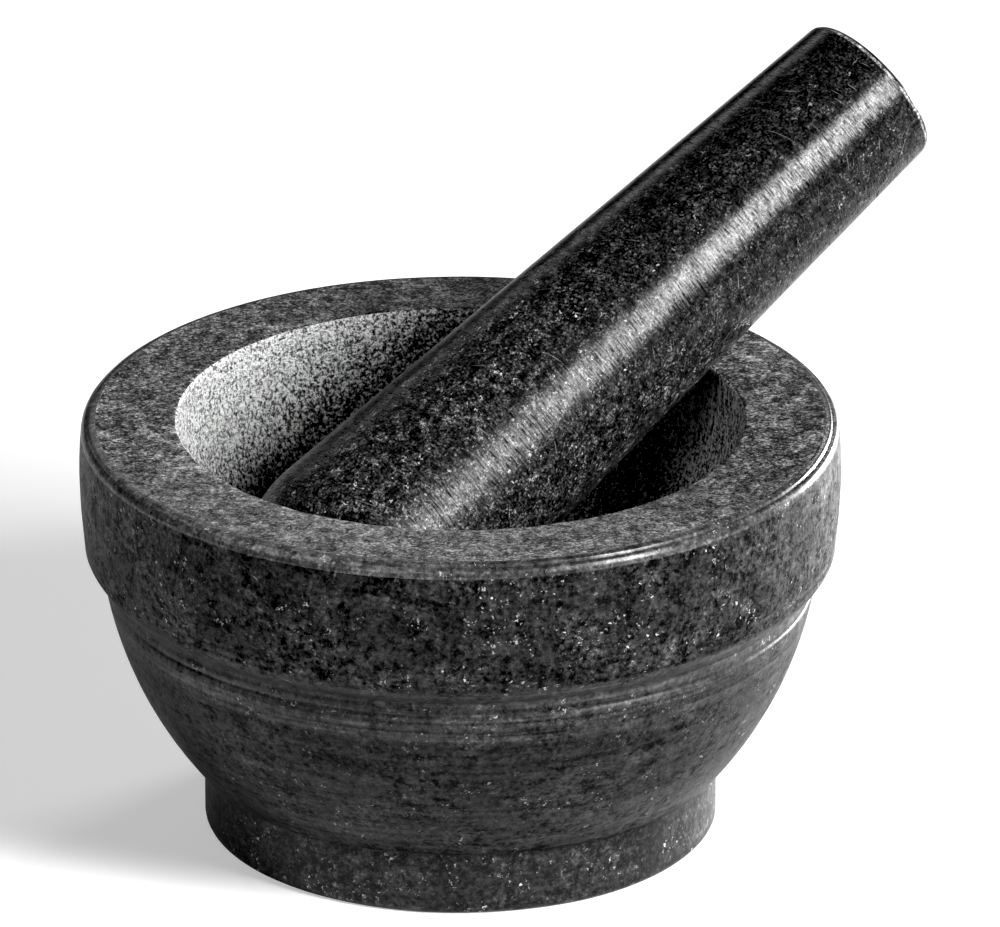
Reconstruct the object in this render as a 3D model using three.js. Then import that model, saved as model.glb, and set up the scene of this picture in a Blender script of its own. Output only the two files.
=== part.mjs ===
// Mortar and pestle turned from dark speckled stone.
// Units are millimetres, +Z is up, and the origin is the centre of the foot's flat underside.
// The user stands on the -Y side. The pestle leans back and to the right, towards +X and +Y.

import * as THREE from 'three';

// ---- Mortar: driving dimensions ----
const MORTAR_HEIGHT = 79;          // foot underside to the flat top of the rim
const COLLAR_RADIUS = 70;          // widest part of the mortar
const FOOT_RADIUS = 47.2;
const FOOT_HEIGHT = 12.2;
const FOOT_EDGE_RADIUS = 1.5;      // rounded lower edge of the foot
const BODY_FOOT_RADIUS = 48.8;     // the body's radius where it springs from the foot
const BODY_TOP_RADIUS = 65.1;      // the body's radius under the collar
const BODY_TOP_HEIGHT = 46;
const BODY_BULGE_RADIUS = 74;      // radius of the arc that shapes the body's side
const STEP_RADIUS = 65;            // the straight neck that joins the body to the collar
const STEP_HEIGHT = 50;
const CHAMFER_HEIGHT = 4.4;        // rise of the collar's sloping lower edge
const COLLAR_LOW_RADIUS = 69;      // collar side, just above its sloping edge
const COLLAR_WIDEST_HEIGHT = 69;
const COLLAR_TOP_RADIUS = 69.7;    // collar side, just under the rim's bevel
const BEVEL_DEPTH = 2.5;           // drop of the rim's outer bevel
const RIM_FLAT_RADIUS = 67;        // outer edge of the rim's flat top
const GROOVE_RADIUS = 68.6;        // centre of the fine groove cut in the bevel
const GROOVE_WIDTH = 0.7;
const GROOVE_DEPTH = 0.35;
const BOWL_RADIUS = 52;            // the hollow is a hemisphere under a short straight wall
const BOWL_CENTRE_HEIGHT = 75;     // centre of the hemisphere
const LIP_RADIUS = 0.8;            // rounded inner edge of the rim

// ---- Pestle: driving dimensions ----
const PESTLE_LENGTH = 156.5;
const BALL_RADIUS = 21.4;          // spherical working end
const PESTLE_TOP_RADIUS = 15.2;    // barrel radius at the top face
const PESTLE_TOP_EDGE = 1.2;       // rounded edge of the top face

// ---- Resting place of the pestle in the bowl ----
const PESTLE_LEAN = 28.1;          // degrees, rise of the pestle's axis above the horizontal
const PESTLE_HEADING = 38;         // degrees, direction of the lean, from +X towards +Y
const PESTLE_OFFSET = -2.7;        // sideways distance between the pestle's axis and the mortar's
const REST_GAP = 0.3;              // clearance left at each of the two resting points

// ---- Facets: segments round each piece, and steps along each curve of a profile ----
const MORTAR_SEGMENTS = 96;
const PESTLE_SEGMENTS = 64;
const SMALL_EDGE_STEPS = 4;
const COLLAR_SIDE_STEPS = 8;
const BODY_STEPS = 12;
const BALL_STEPS = 16;
const BOWL_STEPS = 20;

// ---- Stone ----
const HONED_COLOUR = 0x2b2c2c;
const HONED_ROUGHNESS = 0.5;
const POLISHED_COLOUR = 0x1b1c1c;
const POLISHED_ROUGHNESS = 0.3;

const UP = new THREE.Vector3(0, 0, 1);

// Points along an arc in the plane of a profile, from one angle to another, in radians.
function arc(centreX, centreY, radius, startAngle, endAngle, steps) {
  const points = [];
  for (let i = 0; i <= steps; i += 1) {
    const angle = startAngle + ((endAngle - startAngle) * i) / steps;
    points.push(new THREE.Vector2(
      centreX + radius * Math.cos(angle),
      centreY + radius * Math.sin(angle),
    ));
  }
  return points;
}

// Points along the arc of a given radius that joins two points and bulges away from the axis.
function bulgingArc(start, end, radius, steps) {
  const middle = start.clone().add(end).multiplyScalar(0.5);
  const halfChord = start.distanceTo(end) / 2;
  const along = end.clone().sub(start).normalize();
  const inward = new THREE.Vector2(-along.y, along.x);
  const centre = middle.addScaledVector(inward, Math.sqrt(radius ** 2 - halfChord ** 2));
  const startAngle = Math.atan2(start.y - centre.y, start.x - centre.x);
  const endAngle = Math.atan2(end.y - centre.y, end.x - centre.x);
  return arc(centre.x, centre.y, radius, startAngle, endAngle, steps);
}

// Turns a profile (radius, height) about the +Z axis.
function turned(profile, segments) {
  return new THREE.LatheGeometry(profile, segments).rotateX(Math.PI / 2);
}

function footProfile() {
  const edgeCentre = FOOT_RADIUS - FOOT_EDGE_RADIUS;
  return [
    new THREE.Vector2(0, 0),
    ...arc(edgeCentre, FOOT_EDGE_RADIUS, FOOT_EDGE_RADIUS, -Math.PI / 2, 0, SMALL_EDGE_STEPS),
    new THREE.Vector2(FOOT_RADIUS, FOOT_HEIGHT),
  ];
}

function bodyProfile() {
  const foot = new THREE.Vector2(BODY_FOOT_RADIUS, FOOT_HEIGHT);
  const shoulder = new THREE.Vector2(BODY_TOP_RADIUS, BODY_TOP_HEIGHT);
  return bulgingArc(foot, shoulder, BODY_BULGE_RADIUS, BODY_STEPS);
}

function collarProfile() {
  const neck = new THREE.Vector2(STEP_RADIUS, STEP_HEIGHT);
  const lowerSide = new THREE.Vector3(COLLAR_LOW_RADIUS, STEP_HEIGHT + CHAMFER_HEIGHT, 0);
  const widest = new THREE.Vector3(COLLAR_RADIUS, COLLAR_WIDEST_HEIGHT, 0);
  const upperSide = new THREE.Vector3(COLLAR_TOP_RADIUS, MORTAR_HEIGHT - BEVEL_DEPTH, 0);
  const side = new THREE.CatmullRomCurve3([lowerSide, widest, upperSide]);
  const sidePoints = side.getPoints(COLLAR_SIDE_STEPS);
  return [neck, ...sidePoints.map((point) => new THREE.Vector2(point.x, point.y))];
}

// The rim's outer bevel is an arc with one fine groove cut in it, then the flat top runs in to the lip.
function rimProfile() {
  const bevelWidth = COLLAR_TOP_RADIUS - RIM_FLAT_RADIUS;
  const bevelHeight = (radius) => {
    const share = (radius - RIM_FLAT_RADIUS) / bevelWidth;
    return MORTAR_HEIGHT - BEVEL_DEPTH * (1 - Math.sqrt(1 - share ** 2));
  };
  const onBevel = (radius, sink) => new THREE.Vector2(radius, bevelHeight(radius) - sink);
  const outerRidge = (COLLAR_TOP_RADIUS + GROOVE_RADIUS) / 2;
  return [
    onBevel(outerRidge, 0),
    onBevel(GROOVE_RADIUS + GROOVE_WIDTH / 2, 0),
    onBevel(GROOVE_RADIUS, GROOVE_DEPTH),
    onBevel(GROOVE_RADIUS - GROOVE_WIDTH / 2, 0),
    onBevel(RIM_FLAT_RADIUS, 0),
  ];
}

function bowlProfile() {
  const lipCentreRadius = BOWL_RADIUS + LIP_RADIUS;
  const lipCentreHeight = MORTAR_HEIGHT - LIP_RADIUS;
  return [
    ...arc(lipCentreRadius, lipCentreHeight, LIP_RADIUS, Math.PI / 2, Math.PI, SMALL_EDGE_STEPS),
    ...arc(0, BOWL_CENTRE_HEIGHT, BOWL_RADIUS, 0, -Math.PI / 2, BOWL_STEPS),
  ];
}

function mortarGeometry() {
  const profile = [
    ...footProfile(),
    ...bodyProfile(),
    ...collarProfile(),
    ...rimProfile(),
    ...bowlProfile(),
  ];
  return turned(profile, MORTAR_SEGMENTS);
}

// The barrel is a cone tangent to the ball. This is its half angle, in radians.
function taperAngle() {
  const ballCentreToTop = PESTLE_LENGTH - BALL_RADIUS;
  const toTopEdge = Math.hypot(ballCentreToTop, PESTLE_TOP_RADIUS);
  return Math.asin(BALL_RADIUS / toTopEdge) - Math.atan2(PESTLE_TOP_RADIUS, ballCentreToTop);
}

// Profile of the pestle about its own axis, with the ball's centre at the origin and the top up.
function pestleGeometry() {
  const top = PESTLE_LENGTH - BALL_RADIUS;
  const edge = arc(
    PESTLE_TOP_RADIUS - PESTLE_TOP_EDGE,
    top - PESTLE_TOP_EDGE,
    PESTLE_TOP_EDGE,
    taperAngle(),
    Math.PI / 2,
    SMALL_EDGE_STEPS,
  );
  const profile = [
    ...arc(0, 0, BALL_RADIUS, -Math.PI / 2, taperAngle(), BALL_STEPS),
    ...edge,
    new THREE.Vector2(0, top),
  ];
  return turned(profile, PESTLE_SEGMENTS);
}

// Centre of the ball when the barrel lies on the lip and the ball lies on the wall of the bowl.
// The work is done in the upright plane that holds the pestle's axis: the ball's centre is on a
// circle round the bowl's centre, and the barrel's underside passes the lip at the rest gap.
function restingBallCentre() {
  const freeRadius = BOWL_RADIUS - BALL_RADIUS - REST_GAP;
  const reach = Math.sqrt(freeRadius ** 2 - PESTLE_OFFSET ** 2);
  const lipCentreRadius = Math.sqrt((BOWL_RADIUS + LIP_RADIUS) ** 2 - PESTLE_OFFSET ** 2);
  const lipCentreHeight = MORTAR_HEIGHT - LIP_RADIUS - BOWL_CENTRE_HEIGHT;
  const underside = THREE.MathUtils.degToRad(PESTLE_LEAN) + taperAngle();
  const spare = BALL_RADIUS + LIP_RADIUS + REST_GAP
    - Math.sin(underside) * lipCentreRadius + Math.cos(underside) * lipCentreHeight;
  const dip = underside - Math.asin(spare / reach);
  const heading = THREE.MathUtils.degToRad(PESTLE_HEADING);
  const forward = new THREE.Vector3(Math.cos(heading), Math.sin(heading), 0);
  const sideways = new THREE.Vector3(-Math.sin(heading), Math.cos(heading), 0);
  return new THREE.Vector3(0, 0, BOWL_CENTRE_HEIGHT)
    .addScaledVector(forward, -reach * Math.cos(dip))
    .addScaledVector(sideways, PESTLE_OFFSET)
    .addScaledVector(UP, -reach * Math.sin(dip));
}

function pestleDirection() {
  const lean = THREE.MathUtils.degToRad(PESTLE_LEAN);
  const heading = THREE.MathUtils.degToRad(PESTLE_HEADING);
  return new THREE.Vector3(
    Math.cos(lean) * Math.cos(heading),
    Math.cos(lean) * Math.sin(heading),
    Math.sin(lean),
  );
}

function stone(color, roughness) {
  return new THREE.MeshStandardMaterial({ color, roughness, metalness: 0 });
}

function makeMortar() {
  const mesh = new THREE.Mesh(mortarGeometry(), stone(HONED_COLOUR, HONED_ROUGHNESS));
  mesh.name = 'mortar';
  return mesh;
}

function makePestle() {
  const mesh = new THREE.Mesh(pestleGeometry(), stone(POLISHED_COLOUR, POLISHED_ROUGHNESS));
  mesh.name = 'pestle';
  mesh.quaternion.setFromUnitVectors(UP, pestleDirection());
  mesh.position.copy(restingBallCentre());
  return mesh;
}

const mortarAndPestle = new THREE.Group();
mortarAndPestle.add(makeMortar(), makePestle());

export default mortarAndPestle;
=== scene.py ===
"""Looks for the mortar and pestle: two turned pieces of dark speckled stone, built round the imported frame."""

import math

import bpy
import numpy as np
from mathutils import Matrix, Vector, noise


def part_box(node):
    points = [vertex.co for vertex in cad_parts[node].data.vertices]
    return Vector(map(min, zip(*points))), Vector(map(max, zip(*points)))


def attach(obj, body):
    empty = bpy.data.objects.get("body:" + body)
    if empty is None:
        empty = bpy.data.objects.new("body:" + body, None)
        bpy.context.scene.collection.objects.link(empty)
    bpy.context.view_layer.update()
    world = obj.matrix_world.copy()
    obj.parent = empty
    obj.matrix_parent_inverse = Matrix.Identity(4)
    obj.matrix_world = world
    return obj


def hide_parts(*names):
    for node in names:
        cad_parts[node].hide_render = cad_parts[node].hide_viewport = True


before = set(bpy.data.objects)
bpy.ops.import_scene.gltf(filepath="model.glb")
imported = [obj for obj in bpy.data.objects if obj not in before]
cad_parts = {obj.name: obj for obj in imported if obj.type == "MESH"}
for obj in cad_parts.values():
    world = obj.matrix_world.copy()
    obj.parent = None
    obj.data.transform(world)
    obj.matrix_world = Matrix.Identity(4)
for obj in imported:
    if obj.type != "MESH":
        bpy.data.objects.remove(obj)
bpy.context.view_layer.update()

MM = 0.001
FULL_TURN = 2 * math.pi

# ---- Mortar, in millimetres. The outer size comes from the frame. ----
mortar_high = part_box("mortar")[1]
COLLAR_RADIUS = mortar_high.x / MM
MORTAR_HEIGHT = mortar_high.z / MM
FOOT_RADIUS = 47.2
FOOT_HEIGHT = 12.2
FOOT_EDGE_RADIUS = 1.5
FOOT_FILLET_RADIUS = 1.0
FOOT_FILLET_DROP = 0.4          # centre of the fillet, below the top of the foot
FOOT_FILLET_END = 0.72 * math.pi    # angle at which the fillet ends
BODY_FOOT_RADIUS = 48.8
BODY_FOOT_RISE = 0.6            # start of the body's arc, above the top of the foot
BODY_TOP_RADIUS = 65.1
BODY_TOP_HEIGHT = 46
BODY_BULGE_RADIUS = 74
BAND_HEIGHT = 41.5              # lower edge of the pale, streaky band under the collar
STEP_RADIUS = 65
STEP_HEIGHT = 50
CHAMFER_HEIGHT = 4.4
CHAMFER_BULGE_RADIUS = 9
CHAMFER_TOP = STEP_HEIGHT + CHAMFER_HEIGHT
COLLAR_LOW_RADIUS = COLLAR_RADIUS - 1
COLLAR_LINED_HEIGHT = CHAMFER_TOP + 3   # top of the collar's straight foot, which has the fine lines
COLLAR_LINED_RADIUS = COLLAR_LOW_RADIUS + 0.25
COLLAR_LOWER_BULGE_RADIUS = 120
COLLAR_WIDEST_HEIGHT = 69
COLLAR_UPPER_BULGE_RADIUS = 90
COLLAR_TOP_RADIUS = COLLAR_RADIUS - 0.3
BEVEL_DEPTH = 2.5
RIM_FLAT_RADIUS = 67
BOWL_RADIUS = 52
BOWL_CENTRE_HEIGHT = 75
LIP_RADIUS = 0.8
LIP_SPLIT = 0.7 * math.pi       # where the honed half of the lip meets the pecked half
PECKING_FADE = 2                # the peck marks fade out over this height under the lip

# ---- Fine cuts in the mortar, in millimetres ----
LINE_WIDTH = 0.6
NECK_LINE_HEIGHT = 47.4
NECK_LINE_DEPTH = 0.22
COLLAR_LINE_HEIGHTS = (54.9, 56.5)
COLLAR_LINE_DEPTH = 0.12
GROOVE_RADIUS = 68.6
GROOVE_WIDTH = 0.49
GROOVE_DEPTH_LEFT = 0.0525
GROOVE_DEPTH_RIGHT = 0.385
GROOVE_WORN_FROM = 20           # x where the groove starts to get shallow, towards the left
GROOVE_WORN_TO = -30            # x where it is worn as far as it goes

# ---- Pestle, in millimetres ----
PESTLE_LENGTH = 156.5
BALL_RADIUS = 21.4
PESTLE_TOP_RADIUS = 15.2
PESTLE_TOP_EDGE = 1.2
BALL_TO_TOP = PESTLE_LENGTH - BALL_RADIUS
BARREL_MEAN_RADIUS = 18
POLISHED_HEIGHT = 105           # from the ball's centre: above this the stone keeps its full polish
WORKED_HEIGHT = 20              # from the ball's centre: below this it is fully dulled by work
# heights, from the ball's centre, of the painted highlight ring on the top edge's rounding
EDGE_HIGHLIGHT_RISE = (BALL_TO_TOP - 1.4, BALL_TO_TOP - 1.1)
EDGE_HIGHLIGHT_FALL = (BALL_TO_TOP - 0.9, BALL_TO_TOP - 0.7)

# ---- Mesh spacing along the profiles, in millimetres, and segments round each piece ----
FINE = 0.25
CHAMFER_SPACING = 0.4
FOOT_EDGE_SPACING = 0.5
BALL_SPACING = 0.7
BARREL_SPACING = 0.8
TOP_SPACING = 0.9
BOWL_WALL_SPACING = 0.7
BEVEL_STEPS = 22
MEDIUM = 1.0
COARSE = 8.0
MORTAR_SEGMENTS = 380
PESTLE_SEGMENTS = 300
AXIS_TOLERANCE = 1e-6           # a profile point nearer the axis than this becomes one single point

# ---- Stone: the mortar's materials by their places in its list, and the bowl's marks and painted light, in millimetres ----
SIDE, BEVEL, RIM, BOWL = range(4)
STONE_TINT = (1.0, 1.005, 1.0)
PAINTED_LIGHT_SLOPE = 0.636            # the lower edge of the bowl's painted pool of light, which is the pestle's painted shadow edge, climbs this much per mm to the right
PAINTED_LIGHT_START = 75               # height of that edge at the middle of the bowl
PAINTED_LIGHT_FULL = 97                # height there where the painted light would be at its palest
RIDGES_AND_LIGHT_START = 36               # x where the ridges under the right lip, and the painted light on that wall, begin
RIDGES_AND_LIGHT_FULL = 48                # x where both are at their strongest
RIDGES_PER_RADIAN = 48
RIDGES_PER_MM = 0.22            # changes down the length of a ridge

# ---- Stage, in metres and degrees ----
PICTURE_WIDTH = 0.1837
CAMERA_DISTANCE = 4.0
CAMERA_ELEVATION = 23.0
AIM_SHIFT = Vector((0.0073, 0, -0.0092))
SENSOR_WIDTH = 36               # in millimetres, as cameras have it
FAR_CLIP = 100
LIGHT_DISTANCE = 1.6
FLOOR_REACH = 12
FLOOR_BRIGHTNESS = 0.8
FLOOR_GLOW = 0.4
BACKDROP_BRIGHTNESS = 0.86
AMBIENT_LIGHT = 0.008
BLACK_LEVEL = 0.005


# ---------------------------------------------------------------- profiles

def line(start, end, spacing):
    """Points from start to end, both (radius, height), without the end point."""
    steps = max(1, round(math.dist(start, end) / spacing))
    return [
        (
            start[0] + (end[0] - start[0]) * i / steps,
            start[1] + (end[1] - start[1]) * i / steps,
        )
        for i in range(steps)
    ]


def arc(centre, radius, start, end, spacing):
    """Points along an arc from one angle to another, in radians, without the end point."""
    steps = max(2, round(abs(end - start) * radius / spacing))
    angles = [start + (end - start) * i / steps for i in range(steps)]
    return [(centre[0] + radius * math.cos(a), centre[1] + radius * math.sin(a)) for a in angles]


def bulging_arc(start, end, radius, spacing):
    """Points along the arc of a given radius that joins two points and bulges away from the axis."""
    half = math.dist(start, end) / 2
    along = ((end[0] - start[0]) / (2 * half), (end[1] - start[1]) / (2 * half))
    reach = math.sqrt(radius**2 - half**2)
    centre = (
        (start[0] + end[0]) / 2 - along[1] * reach,
        (start[1] + end[1]) / 2 + along[0] * reach,
    )
    start_angle = math.atan2(start[1] - centre[1], start[0] - centre[0])
    end_angle = math.atan2(end[1] - centre[1], end[0] - centre[0])
    return arc(centre, radius, start_angle, end_angle, spacing)


def with_line_cut(points, height, depth):
    """The same points with one fine line cut in them at a height."""
    def cut(place):
        return depth * math.exp(-(((place - height) / (LINE_WIDTH / 2)) ** 2))

    return [(radius - cut(place), place) for radius, place in points]


def foot_profile():
    edge = (FOOT_RADIUS - FOOT_EDGE_RADIUS, FOOT_EDGE_RADIUS)
    fillet = (FOOT_RADIUS + FOOT_FILLET_RADIUS, FOOT_HEIGHT - FOOT_FILLET_DROP)
    return (
        line((0, 0), (edge[0], 0), COARSE)
        + arc(edge, FOOT_EDGE_RADIUS, -math.pi / 2, 0, FOOT_EDGE_SPACING)
        + line((FOOT_RADIUS, FOOT_EDGE_RADIUS), (FOOT_RADIUS, fillet[1]), MEDIUM)
        + arc(fillet, FOOT_FILLET_RADIUS, math.pi, FOOT_FILLET_END, FINE)
    )


def body_profile():
    foot = (BODY_FOOT_RADIUS, FOOT_HEIGHT + BODY_FOOT_RISE)
    shoulder = (BODY_TOP_RADIUS, BODY_TOP_HEIGHT)
    return bulging_arc(foot, shoulder, BODY_BULGE_RADIUS, MEDIUM)


def neck_profile():
    """The straight neck between the body and the collar, with one fine line cut in it."""
    points = line((BODY_TOP_RADIUS, BODY_TOP_HEIGHT), (STEP_RADIUS, STEP_HEIGHT), FINE)
    return with_line_cut(points, NECK_LINE_HEIGHT, NECK_LINE_DEPTH)


def collar_profile():
    """The sloping lower edge, then the slightly barrelled side with two fine lines near its foot."""
    neck = (STEP_RADIUS, STEP_HEIGHT)
    low = (COLLAR_LOW_RADIUS, CHAMFER_TOP)
    lined = (COLLAR_LINED_RADIUS, COLLAR_LINED_HEIGHT)
    widest = (COLLAR_RADIUS, COLLAR_WIDEST_HEIGHT)
    top = (COLLAR_TOP_RADIUS, MORTAR_HEIGHT - BEVEL_DEPTH)
    side = (
        line(low, lined, FINE)
        + bulging_arc(lined, widest, COLLAR_LOWER_BULGE_RADIUS, MEDIUM)
        + bulging_arc(widest, top, COLLAR_UPPER_BULGE_RADIUS, MEDIUM)
    )
    for height in COLLAR_LINE_HEIGHTS:
        side = with_line_cut(side, height, COLLAR_LINE_DEPTH)
    return bulging_arc(neck, low, CHAMFER_BULGE_RADIUS, CHAMFER_SPACING) + side


def bevel_profile():
    """The rim's rounded outer bevel, before its groove is cut."""
    width = COLLAR_TOP_RADIUS - RIM_FLAT_RADIUS
    angles = [math.pi / 2 * i / BEVEL_STEPS for i in range(BEVEL_STEPS)]
    low = MORTAR_HEIGHT - BEVEL_DEPTH
    return [(RIM_FLAT_RADIUS + width * math.cos(a), low + BEVEL_DEPTH * math.sin(a)) for a in angles]


def rim_profile():
    lip_start = (BOWL_RADIUS + LIP_RADIUS, MORTAR_HEIGHT)
    return line((RIM_FLAT_RADIUS, MORTAR_HEIGHT), lip_start, MEDIUM)


def lip_profile(start, end):
    """Part of the rounded lip, from one angle to another. It turns from the flat rim into the bowl."""
    centre = (BOWL_RADIUS + LIP_RADIUS, MORTAR_HEIGHT - LIP_RADIUS)
    return arc(centre, LIP_RADIUS, start, end, FINE)


def bowl_profile():
    """A short straight wall, then a hemisphere."""
    wall_top = (BOWL_RADIUS, MORTAR_HEIGHT - LIP_RADIUS)
    wall_foot = (BOWL_RADIUS, BOWL_CENTRE_HEIGHT)
    return (
        line(wall_top, wall_foot, BOWL_WALL_SPACING)
        + arc((0, BOWL_CENTRE_HEIGHT), BOWL_RADIUS, 0, -math.pi / 2, MEDIUM)
        + [(0, BOWL_CENTRE_HEIGHT - BOWL_RADIUS)]
    )


def taper_angle():
    """Half angle of the barrel's cone, which is tangent to the ball."""
    to_edge = math.hypot(BALL_TO_TOP, PESTLE_TOP_RADIUS)
    return math.asin(BALL_RADIUS / to_edge) - math.atan2(PESTLE_TOP_RADIUS, BALL_TO_TOP)


def pestle_profile():
    """Ball centre at the origin, axis up."""
    taper = taper_angle()
    edge = (PESTLE_TOP_RADIUS - PESTLE_TOP_EDGE, BALL_TO_TOP - PESTLE_TOP_EDGE)
    barrel_foot = (BALL_RADIUS * math.cos(taper), BALL_RADIUS * math.sin(taper))
    barrel_top = (
        edge[0] + PESTLE_TOP_EDGE * math.cos(taper),
        edge[1] + PESTLE_TOP_EDGE * math.sin(taper),
    )
    return (
        arc((0, 0), BALL_RADIUS, -math.pi / 2, taper, BALL_SPACING)
        + line(barrel_foot, barrel_top, BARREL_SPACING)
        + arc(edge, PESTLE_TOP_EDGE, taper, math.pi / 2, FINE)
        + line((edge[0], BALL_TO_TOP), (0, BALL_TO_TOP), TOP_SPACING)
        + [(0, BALL_TO_TOP)]
    )


# ---------------------------------------------------------------- wear: shift outwards at a point, in mm

def unevenness(point, size, depth, octaves=3):
    """Smooth noise with features of one size that shifts the surface by about depth either way."""
    return depth * noise.fractal(Vector(point) / size, 1.0, 2.0, octaves)


def tool_waves(height, seed, size, depth):
    """Shallow waves that run right round a turned piece. seed picks their pattern."""
    return unevenness((*seed, height), size, depth, octaves=2)


def outside_wear(point):
    return unevenness(point, size=24, depth=0.06) + tool_waves(point[2], seed=(0, 0), size=4.5, depth=0.02)


def bevel_wear(point):
    """The outside's wear, and the fine groove, which is worn shallow on the left."""
    radius = math.hypot(point[0], point[1])
    worn = (GROOVE_WORN_FROM - point[0]) / (GROOVE_WORN_FROM - GROOVE_WORN_TO)
    worn = min(1, max(0, worn))
    depth = GROOVE_DEPTH_RIGHT + (GROOVE_DEPTH_LEFT - GROOVE_DEPTH_RIGHT) * worn
    across = (radius - GROOVE_RADIUS) / (GROOVE_WIDTH / 2)
    return outside_wear(point) - depth * math.exp(-(across**2))


def lip_wear(point):
    return unevenness(point, size=5, depth=0.12)


def bowl_wear(point):
    """The lip's wear carried on, with peck marks that fade out towards the lip."""
    below_lip = MORTAR_HEIGHT - LIP_RADIUS - point[2]
    pecked = min(1, below_lip / PECKING_FADE)
    return lip_wear(point) + unevenness(point, size=1.7, depth=0.2, octaves=2) * pecked


def pestle_wear(point):
    return unevenness(point, size=26, depth=0.06) + tool_waves(point[2], seed=(7, 3), size=9, depth=0.015)


# ---------------------------------------------------------------- meshes

def add_attribute(mesh, name, vectors):
    made = mesh.attributes.new(name, "FLOAT_VECTOR", "POINT")
    made.data.foreach_set("vector", np.array(vectors, np.float32).ravel())


def band_faces(below, above, segments):
    """Faces between two rings of points. A ring on the axis has one point."""
    faces = []
    for k in range(segments):
        after = (k + 1) % segments
        if len(below) == 1:
            faces.append((below[0], above[after], above[k]))
        elif len(above) == 1:
            faces.append((below[k], below[after], above[0]))
        else:
            faces.append((below[k], below[after], above[after], above[k]))
    return faces


def turned_mesh(name, sections, segments):
    """Turns profile sections about Z. Each section is (points, wear, place of its material).

    Each point keeps two attributes for the materials: "grain" is its place before wear, in
    millimetres, and "lathe" is the cosine and sine of its angle with its distance along the profile.
    """
    profile = np.array([point for points, _, _ in sections for point in points])
    wears = [wear for points, wear, _ in sections for _ in points]
    slots = [slot for points, _, slot in sections for _ in points]
    steps = np.gradient(profile, axis=0)
    normals = np.stack([steps[:, 1], -steps[:, 0]], axis=1)
    normals /= np.linalg.norm(normals, axis=1)[:, None]
    travelled = np.concatenate([[0], np.cumsum(np.hypot(*np.diff(profile, axis=0).T))])

    grain, lathe, worn, rings = [], [], [], []
    for i, (radius, height) in enumerate(profile):
        count = 1 if radius < AXIS_TOLERANCE else segments
        rings.append(range(len(grain), len(grain) + count))
        for k in range(count):
            angle = FULL_TURN * k / segments
            cos, sin = math.cos(angle), math.sin(angle)
            point = (radius * cos, radius * sin, height)
            outward = (normals[i, 0] * cos, normals[i, 0] * sin, normals[i, 1])
            shift = wears[i](point)
            grain.append(point)
            lathe.append((cos, sin, travelled[i]))
            worn.append([(point[j] + outward[j] * shift) * MM for j in range(3)])

    faces, face_slots = [], []
    for below, above, slot in zip(rings, rings[1:], slots):
        faces += band_faces(below, above, segments)
        face_slots += [slot] * segments

    mesh = bpy.data.meshes.new(name)
    mesh.from_pydata(worn, [], faces)
    mesh.shade_smooth()
    add_attribute(mesh, "grain", grain)
    add_attribute(mesh, "lathe", lathe)
    mesh.polygons.foreach_set("material_index", face_slots)
    mesh.update()
    return mesh


def pestle_place():
    """Matrix from the pestle's own frame (ball centre at the origin, axis up) to the shared frame."""
    points = np.array([v.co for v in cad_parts["pestle"].data.vertices])
    middle = points.mean(axis=0)
    axis = np.linalg.svd(points - middle, full_matrices=False)[2][0]
    axis *= math.copysign(1, axis[2])
    lowest = ((points - middle) @ axis).min()
    ball_centre = middle + axis * (lowest + BALL_RADIUS * MM)
    turn = Vector((0, 0, 1)).rotation_difference(Vector(axis))
    return Matrix.Translation(Vector(ball_centre)) @ turn.to_matrix().to_4x4()


# ---------------------------------------------------------------- fields: the language of the materials

class Field:
    """A number that varies over a surface. Sums and products of fields become nodes of its material."""

    def __init__(self, tree, socket):
        self.tree = tree
        self.socket = socket

    def __add__(self, other):
        return combined("ADD", self, other)

    def __sub__(self, other):
        return combined("SUBTRACT", self, other)

    def __rsub__(self, other):
        return combined("SUBTRACT", other, self)

    def __mul__(self, other):
        return combined("MULTIPLY", self, other)

    def __truediv__(self, other):
        return combined("DIVIDE", self, other)

    __radd__ = __add__
    __rmul__ = __mul__


def add_node(tree, kind, inputs, **settings):
    """A new node with its settings and its inputs: each input is a field, a socket or a plain value."""
    made = tree.nodes.new(kind)
    for name, value in settings.items():
        setattr(made, name, value)
    for name, value in inputs.items():
        source = value.socket if isinstance(value, Field) else value
        if isinstance(source, bpy.types.NodeSocket):
            tree.links.new(source, made.inputs[name])
        else:
            made.inputs[name].default_value = source
    return made


def combined(operation, first, second):
    """A field from two others. One of them may be a plain number."""
    tree = first.tree if isinstance(first, Field) else second.tree
    made = add_node(tree, "ShaderNodeMath", {0: first, 1: second}, operation=operation)
    return Field(tree, made.outputs[0])


def blend(share, first, second):
    """first where share is 0, second where share is 1."""
    return first + (second - first) * share


def remap(field, low, high, to_low=0.0, to_high=1.0):
    """Takes a field smoothly from low..high to to_low..to_high, and stops at both ends."""
    inputs = {
        "Value": field,
        "From Min": low,
        "From Max": high,
        "To Min": to_low,
        "To Max": to_high,
    }
    made = add_node(field.tree, "ShaderNodeMapRange", inputs, interpolation_type="SMOOTHSTEP")
    return Field(field.tree, made.outputs["Result"])


def vector_of(tree, attribute):
    return add_node(tree, "ShaderNodeAttribute", {}, attribute_name=attribute).outputs["Vector"]


def component(tree, attribute, axis):
    made = add_node(tree, "ShaderNodeSeparateXYZ", {0: vector_of(tree, attribute)})
    return Field(tree, made.outputs[axis])


def scaled(tree, vector, x, y, z):
    return add_node(tree, "ShaderNodeVectorMath", {0: vector, 1: (x, y, z)}, operation="MULTIPLY").outputs[0]


def shifted(tree, vector, shift):
    return add_node(tree, "ShaderNodeVectorMath", {0: vector, 1: shift}, operation="ADD").outputs[0]


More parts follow.
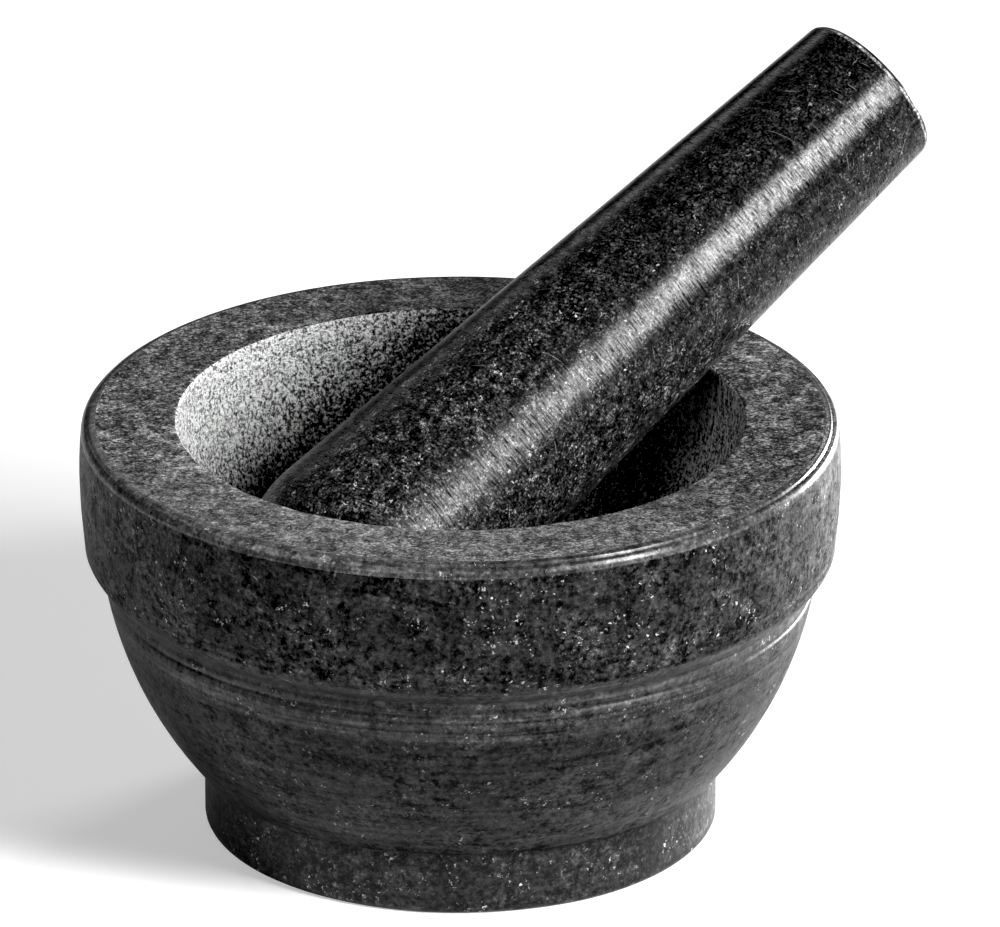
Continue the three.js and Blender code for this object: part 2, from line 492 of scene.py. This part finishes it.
def centred_noise(tree, vector, strength, detail, roughness=0.6):
    """Noise about zero, for a vector already scaled so that one unit is one feature."""
    inputs = {"Vector": vector, "Scale": 1.0, "Detail": detail, "Roughness": roughness}
    made = add_node(tree, "ShaderNodeTexNoise", inputs)
    return (Field(tree, made.outputs["Fac"]) - 0.5) * strength


def speckle_noise(tree, size, strength=1.0, detail=2.0, roughness=0.6, seed=0.0):
    """Noise with features of one size, in millimetres, in every direction."""
    place = scaled(tree, vector_of(tree, "grain"), 1 / size, 1 / size, 1 / size)
    return centred_noise(tree, shifted(tree, place, (seed, 0, 0)), strength, detail, roughness)


def turning_noise(tree, width, length, strength=1.0, detail=2.0, radius=60.0):
    """Noise in lines round the turned piece, of a width along the profile and a length round it."""
    around = radius / length
    place = scaled(tree, vector_of(tree, "lathe"), around, around, 1 / width)
    return centred_noise(tree, place, strength, detail)


def honing_noise(tree, degrees, width, length, strength=1.0, detail=2.0, axis="Z"):
    """Noise in straight lines, turned about one of the piece's axes."""
    inputs = {"Vector": vector_of(tree, "grain"), "Angle": math.radians(-degrees)}
    turned = add_node(tree, "ShaderNodeVectorRotate", inputs, rotation_type=f"{axis}_AXIS").outputs[0]
    place = scaled(tree, turned, 1 / length, 1 / width, 1 / length)
    return centred_noise(tree, place, strength, detail)


def height_share(tree, zero_height, full_height):
    """0 at one height on the piece and 1 at another, in millimetres. Either may be the higher one."""
    return remap(component(tree, "grain", "Z"), zero_height, full_height)


def height_band(tree, rise, fall):
    """1 in a band of heights and 0 outside it. rise and fall are the (low, high) spans at its edges."""
    return height_share(tree, rise[0], rise[1]) * height_share(tree, fall[1], fall[0])


def front_left_painted_light_share(tree):
    """1 at the front left of the mortar, where light is painted in, and 0 at the back and on the right."""
    left = remap(component(tree, "lathe", "X"), 0.1, -0.5)
    return left * remap(component(tree, "lathe", "Y"), 0.1, -0.5)


def near_lip_share(tree):
    """1 on the rim beside the lip, fading to 0 part of the way out."""
    flat = scaled(tree, vector_of(tree, "grain"), 1, 1, 0)
    radius = add_node(tree, "ShaderNodeVectorMath", {0: flat}, operation="LENGTH").outputs["Value"]
    return remap(Field(tree, radius), BOWL_RADIUS + 8, BOWL_RADIUS + 1)


# ---------------------------------------------------------------- stone

def mineral_cells(tree, size, ragged):
    """Cells like interlocked crystals: each cell's own number, and the distance from its middle."""
    place = scaled(tree, vector_of(tree, "grain"), 1 / size, 1 / size, 1 / size)
    stir = add_node(tree, "ShaderNodeTexNoise", {"Vector": place, "Scale": 1.7, "Detail": 0.0})
    stir = scaled(tree, stir.outputs["Color"], ragged * 2, ragged * 2, ragged * 2)
    inputs = {"Vector": shifted(tree, place, stir), "Scale": 1.0}
    cells = add_node(tree, "ShaderNodeTexVoronoi", inputs)
    number = add_node(tree, "ShaderNodeSeparateColor", {0: cells.outputs["Color"]})
    return Field(tree, number.outputs[0]), Field(tree, cells.outputs["Distance"])


def flecks(tree, size, share, reach):
    """Bright in a few ragged grains, 0 elsewhere. share is the part of the cells that hold a grain."""
    number, distance = mineral_cells(tree, size, ragged=0.8)
    return remap(number, 1 - share, 1) * remap(distance, reach * 0.5, reach, 1, 0)


def mottled(signal, middle):
    """Brightness that a signed signal makes darker or lighter than a middle value, always below white."""
    raised = combined("POWER", math.e, signal) * middle
    return raised / (raised + 1)


def stone_grains(tree, size=1.0):
    """The stone's own mottling as a signed number: crystals, fine grains and dark blots in loose clumps."""
    number, _ = mineral_cells(tree, 0.7 * size, ragged=0.35)
    crystals = (number - 0.5) * 1.5
    fine = speckle_noise(tree, size=1.0 * size, strength=8, detail=3, roughness=0.8)
    clumps = speckle_noise(tree, size=4.6 * size, strength=4, roughness=0.5, seed=31)
    blots = remap(speckle_noise(tree, size=2.2 * size, detail=3, seed=57), 0.03, 0.08, 0.15, -0.85)
    return crystals + fine + clumps + blots


def sparkle(tree):
    """Sparse white grains of three sizes, thicker in some places than in others."""
    crowd = remap(speckle_noise(tree, size=6, roughness=0.5, seed=11), -0.06, 0.12, 0.06, 1)
    dust = flecks(tree, size=0.5, share=0.09, reach=0.5)
    small = flecks(tree, size=0.85, share=0.12, reach=0.45)
    large = flecks(tree, size=2.3, share=0.07, reach=0.22)
    brightest = combined("MAXIMUM", combined("MAXIMUM", small, large), dust * 0.6)
    return brightest * crowd


def finished_material(name, finish):
    """A material from finish(tree), which gives its brightness, roughness, shine and height in mm."""
    material = bpy.data.materials.new(name)
    material.use_nodes = True
    tree = material.node_tree
    tree.nodes.clear()
    look = finish(tree)
    tint = {0: STONE_TINT, "Scale": look["brightness"]}
    bump = {"Height": look["height"], "Distance": MM}
    inputs = {
        "Base Color": add_node(tree, "ShaderNodeVectorMath", tint, operation="SCALE").outputs[0],
        "Roughness": look["roughness"],
        "Specular IOR Level": look["shine"],
        "Normal": add_node(tree, "ShaderNodeBump", bump).outputs[0],
    }
    shader = add_node(tree, "ShaderNodeBsdfPrincipled", inputs)
    add_node(tree, "ShaderNodeOutputMaterial", {"Surface": shader.outputs[0]})
    return material


# ---------------------------------------------------------------- finishes

def side_finish(tree):
    """The turned sides: mottled on the collar and the foot, calmer on the body, with turning lines."""
    collar = height_share(tree, STEP_HEIGHT + 2, CHAMFER_TOP + 2)
    foot = 1 - height_share(tree, FOOT_HEIGHT - 2, FOOT_HEIGHT + 1)
    band = height_band(tree, (BAND_HEIGHT - 1, BAND_HEIGHT + 1), (STEP_HEIGHT, CHAMFER_TOP + 1))
    patches = remap(speckle_noise(tree, size=11, roughness=0.5, seed=71), -0.12, 0.12, 0.7, 1.15)
    strength = 0.65 + 0.45 * collar + 0.45 * foot
    grains = stone_grains(tree) * strength * patches
    lines = turning_noise(tree, width=1.3, length=30, detail=3) * blend(collar, 3.0, 1.6)
    streaks = turning_noise(tree, width=0.9, length=70, strength=4) * band
    fine_lines = turning_noise(tree, width=0.35, length=40)
    signal = grains + lines + streaks + 0.85 * band - 0.35 * foot
    return {
        "brightness": mottled(signal, middle=0.0072) + 0.48 * strength * sparkle(tree),
        "roughness": 0.4,
        "shine": remap(signal, -1.8, 1.8, 0.03, 0.38) + 0.2 * foot,
        "height": 0.015 * fine_lines + 0.008 * grains,
    }


def bevel_finish(tree):
    """The polished bevel: calm stone that light runs along in fine lines, with a painted reflection that makes
    it paler at the front left.
    """
    grains = 0.6 * stone_grains(tree)
    lines = turning_noise(tree, width=0.8, length=30, strength=3)
    # painted reflection: a paler middle brightness at the front left
    middle = blend(front_left_painted_light_share(tree), 0.042, 0.09)
    return {
        "brightness": mottled(grains + lines, middle) + 0.4 * sparkle(tree),
        "roughness": 0.27,
        "shine": remap(grains, -1.5, 1.5, 0.15, 0.4),
        "height": 0.002 * lines,
    }


def rim_finish(tree):
    """The honed flat top: paler towards the front, with painted light beside the lip at the front left, rubbing
    marks and a few scratches.
    """
    # paler towards the front of the rim, with calmer grains there
    towards_front = remap(component(tree, "lathe", "Y"), 0.0, -0.9)
    # worn here is painted light: the rim beside the lip at the front left is made paler
    worn = near_lip_share(tree) * front_left_painted_light_share(tree)
    grains = stone_grains(tree, size=0.6) * remap(towards_front, 0, 1, 1.45, 0.9)
    grit = speckle_noise(tree, size=0.35, strength=4.5, detail=1, seed=83)
    wide = speckle_noise(tree, size=10, strength=2, roughness=0.5, seed=43)
    marks = honing_noise(tree, degrees=30, width=0.35, length=1.6, strength=3.2)
    cross_marks = honing_noise(tree, degrees=-14, width=0.35, length=1.4, strength=2.8)
    scratches = remap(honing_noise(tree, degrees=72, width=0.2, length=4), 0.22, 0.28)
    signal = grains + grit + wide + marks + cross_marks + 0.6 * towards_front + 0.7 * worn
    return {
        "brightness": mottled(signal, middle=0.052) + 0.35 * sparkle(tree) + 0.15 * scratches,
        "roughness": 0.45,
        "shine": remap(signal, -1.8, 1.8, 0.06, 0.65),
        "height": 0.01 * (marks + cross_marks),
    }


def bowl_finish(tree):
    """The pecked hollow: painted light high on the left, painted shadow of the pestle lower down, ridged and
    painted lighter under the right lip.
    """
    across = component(tree, "grain", "X")
    # painted light and shade: pale where the key lamp reaches the upper left wall past the pestle, painted
    # shadow of the pestle below and beyond that edge
    painted_light = remap(component(tree, "grain", "Z") - PAINTED_LIGHT_SLOPE * across, PAINTED_LIGHT_START, PAINTED_LIGHT_FULL)
    # right carries the ridges, and painted light: added to the middle brightness below, it makes the upper
    # right wall paler
    right = remap(across, RIDGES_AND_LIGHT_START, RIDGES_AND_LIGHT_FULL)
    place = scaled(tree, vector_of(tree, "lathe"), RIDGES_PER_RADIAN, RIDGES_PER_RADIAN, RIDGES_PER_MM)
    ridges = centred_noise(tree, place, strength=11, detail=1) * right
    grit = speckle_noise(tree, size=0.4, strength=4, detail=1, seed=5)
    pits = speckle_noise(tree, size=0.75, strength=9, roughness=0.7, seed=17)
    wide = speckle_noise(tree, size=3.0, strength=1.4, roughness=0.5, seed=23)
    signal = (grit + pits + wide) * blend(painted_light, 2.6, 1.7) + ridges
    return {
        "brightness": mottled(signal, middle=blend(painted_light, 0.08, 1.9) + right),
        "roughness": 0.85,
        "shine": 0.1,
        "height": 0.15 * (grit + pits + ridges),
    }


def pestle_finish(tree):
    """The polished pestle: near-black, with dense grey grains, fine rings, scratches and a painted highlight
    round the top edge.
    """
    worked = height_share(tree, POLISHED_HEIGHT, WORKED_HEIGHT)
    grains = stone_grains(tree, size=0.5) * blend(worked, 1.3, 1.7)
    rings = turning_noise(tree, width=0.24, length=3, radius=BARREL_MEAN_RADIUS)
    lines = honing_noise(tree, degrees=40, width=0.18, length=6, detail=0, axis="X")
    scratches = remap(lines, 0.3, 0.34)
    # painted highlight: a thin pale ring on the rounding of the top edge
    edge_highlight = height_band(tree, EDGE_HIGHLIGHT_RISE, EDGE_HIGHLIGHT_FALL)
    middle = blend(worked, 0.0075, 0.012) + 0.2 * edge_highlight
    white = (0.25 + 0.45 * worked) * sparkle(tree) + 0.12 * scratches
    shine = remap(grains, -2.5, 2.5, 0.1, 0.2) + 0.9 * rings
    return {
        "brightness": mottled(grains, middle) + white,
        "roughness": blend(worked, 0.2, 0.32),
        "shine": shine * blend(worked, 1.0, 0.85),
        "height": 0.018 * rings + 0.001 * grains,
    }


# ---------------------------------------------------------------- pieces

def add_piece(mesh, body):
    """Adds the mesh under its own name, riding on a body in place of the CAD node of the same name."""
    piece = bpy.data.objects.new(mesh.name, mesh)
    bpy.context.scene.collection.objects.link(piece)
    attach(piece, body)
    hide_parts(body)


def make_mortar():
    sections = [
        (foot_profile(), outside_wear, SIDE),
        (body_profile(), outside_wear, SIDE),
        (neck_profile(), outside_wear, SIDE),
        (collar_profile(), outside_wear, SIDE),
        (bevel_profile(), bevel_wear, BEVEL),
        (rim_profile(), outside_wear, RIM),
        (lip_profile(math.pi / 2, LIP_SPLIT), lip_wear, RIM),
        (lip_profile(LIP_SPLIT, math.pi), lip_wear, BOWL),
        (bowl_profile(), bowl_wear, BOWL),
    ]
    mesh = turned_mesh("mortar_stone", sections, MORTAR_SEGMENTS)
    mesh.materials.append(finished_material("turned_stone", side_finish))
    mesh.materials.append(finished_material("bevel_stone", bevel_finish))
    mesh.materials.append(finished_material("honed_stone", rim_finish))
    mesh.materials.append(finished_material("pecked_stone", bowl_finish))
    add_piece(mesh, "mortar")


def make_pestle():
    only_material = 0
    sections = [(pestle_profile(), pestle_wear, only_material)]
    mesh = turned_mesh("pestle_stone", sections, PESTLE_SEGMENTS)
    mesh.transform(pestle_place())
    mesh.materials.append(finished_material("polished_stone", pestle_finish))
    add_piece(mesh, "pestle")


# ---------------------------------------------------------------- stage

def direction(azimuth, elevation):
    """Unit vector. Azimuth is in degrees from +X towards +Y, and elevation is above the floor."""
    around, up = math.radians(azimuth), math.radians(elevation)
    return Vector((math.cos(up) * math.cos(around), math.cos(up) * math.sin(around), math.sin(up)))


def make_camera():
    aim = Vector((0, 0, mortar_high.z)) + AIM_SHIFT
    back = direction(azimuth=-90, elevation=CAMERA_ELEVATION)
    data = bpy.data.cameras.new("camera")
    data.sensor_width = SENSOR_WIDTH
    data.lens = SENSOR_WIDTH * CAMERA_DISTANCE / PICTURE_WIDTH
    data.clip_end = FAR_CLIP
    camera = bpy.data.objects.new("camera", data)
    camera.location = aim + back * CAMERA_DISTANCE
    camera.rotation_euler = (-back).to_track_quat("-Z", "Y").to_euler()
    bpy.context.scene.collection.objects.link(camera)
    bpy.context.scene.camera = camera


def area_light(name, azimuth, elevation, width, height, power):
    """A soft panel that faces the bowl.

    Width and height are the angles that it fills, in degrees, and power is in units of pi watts.
    """
    data = bpy.data.lights.new(name, "AREA")
    data.shape = "RECTANGLE"
    data.size = 2 * LIGHT_DISTANCE * math.tan(math.radians(width / 2))
    data.size_y = 2 * LIGHT_DISTANCE * math.tan(math.radians(height / 2))
    data.energy = power * math.pi
    light = bpy.data.objects.new(name, data)
    towards = direction(azimuth, elevation)
    light.location = Vector((0, 0, BOWL_CENTRE_HEIGHT * MM)) + towards * LIGHT_DISTANCE
    light.rotation_euler = (-towards).to_track_quat("-Z", "Y").to_euler()
    light.visible_camera = False
    bpy.context.scene.collection.objects.link(light)


def make_lights():
    area_light("key", azimuth=-37, elevation=29, width=11, height=28, power=17)
    area_light("low_back_right", azimuth=45, elevation=-0.3, width=17, height=4.6, power=32)
    area_light("front_left", azimuth=-116, elevation=24, width=16, height=14, power=1.5)
    area_light("back", azimuth=92, elevation=28, width=40, height=16, power=0.6)
    area_light("back_left", azimuth=120, elevation=24, width=18, height=14, power=0.2)


def seen_by_camera(tree):
    """1 for what the camera sees directly, 0 for light and reflections."""
    return Field(tree, add_node(tree, "ShaderNodeLightPath", {}).outputs["Is Camera Ray"])


def make_world():
    """Near white behind the object for the camera, and almost dark as a source of light."""
    world = bpy.data.worlds.new("studio")
    bpy.context.scene.world = world
    world.use_nodes = True
    tree = world.node_tree
    tree.nodes.clear()
    strength = blend(seen_by_camera(tree), AMBIENT_LIGHT, BACKDROP_BRIGHTNESS)
    background = add_node(tree, "ShaderNodeBackground", {"Strength": strength})
    add_node(tree, "ShaderNodeOutputWorld", {"Surface": background.outputs[0]})


def floor_material():
    """Matt pale paper that the camera sees a little lighter than it is lit."""
    material = bpy.data.materials.new("floor_paper")
    material.use_nodes = True
    tree = material.node_tree
    tree.nodes.clear()
    inputs = {
        "Base Color": (FLOOR_BRIGHTNESS, FLOOR_BRIGHTNESS, FLOOR_BRIGHTNESS, 1),
        "Roughness": 0.9,
        "Specular IOR Level": 0.1,
        "Emission Color": (1, 1, 1, 1),
        "Emission Strength": seen_by_camera(tree) * FLOOR_GLOW,
    }
    shader = add_node(tree, "ShaderNodeBsdfPrincipled", inputs)
    add_node(tree, "ShaderNodeOutputMaterial", {"Surface": shader.outputs[0]})
    return material


def make_floor():
    corners = [(x, y, 0) for x, y in ((-1, -1), (1, -1), (1, 1), (-1, 1))]
    mesh = bpy.data.meshes.new("floor")
    mesh.from_pydata([Vector(corner) * FLOOR_REACH for corner in corners], [], [(0, 1, 2, 3)])
    mesh.materials.append(floor_material())
    floor = bpy.data.objects.new("floor", mesh)
    bpy.context.scene.collection.objects.link(floor)


def set_colour_management():
    view = bpy.context.scene.view_settings
    view.view_transform = "Standard"
    view.look = "None"
    view.use_curve_mapping = True
    view.curve_mapping.black_level = (BLACK_LEVEL, BLACK_LEVEL, BLACK_LEVEL)


make_mortar()
make_pestle()
make_camera()
make_lights()
make_world()
make_floor()
set_colour_management()
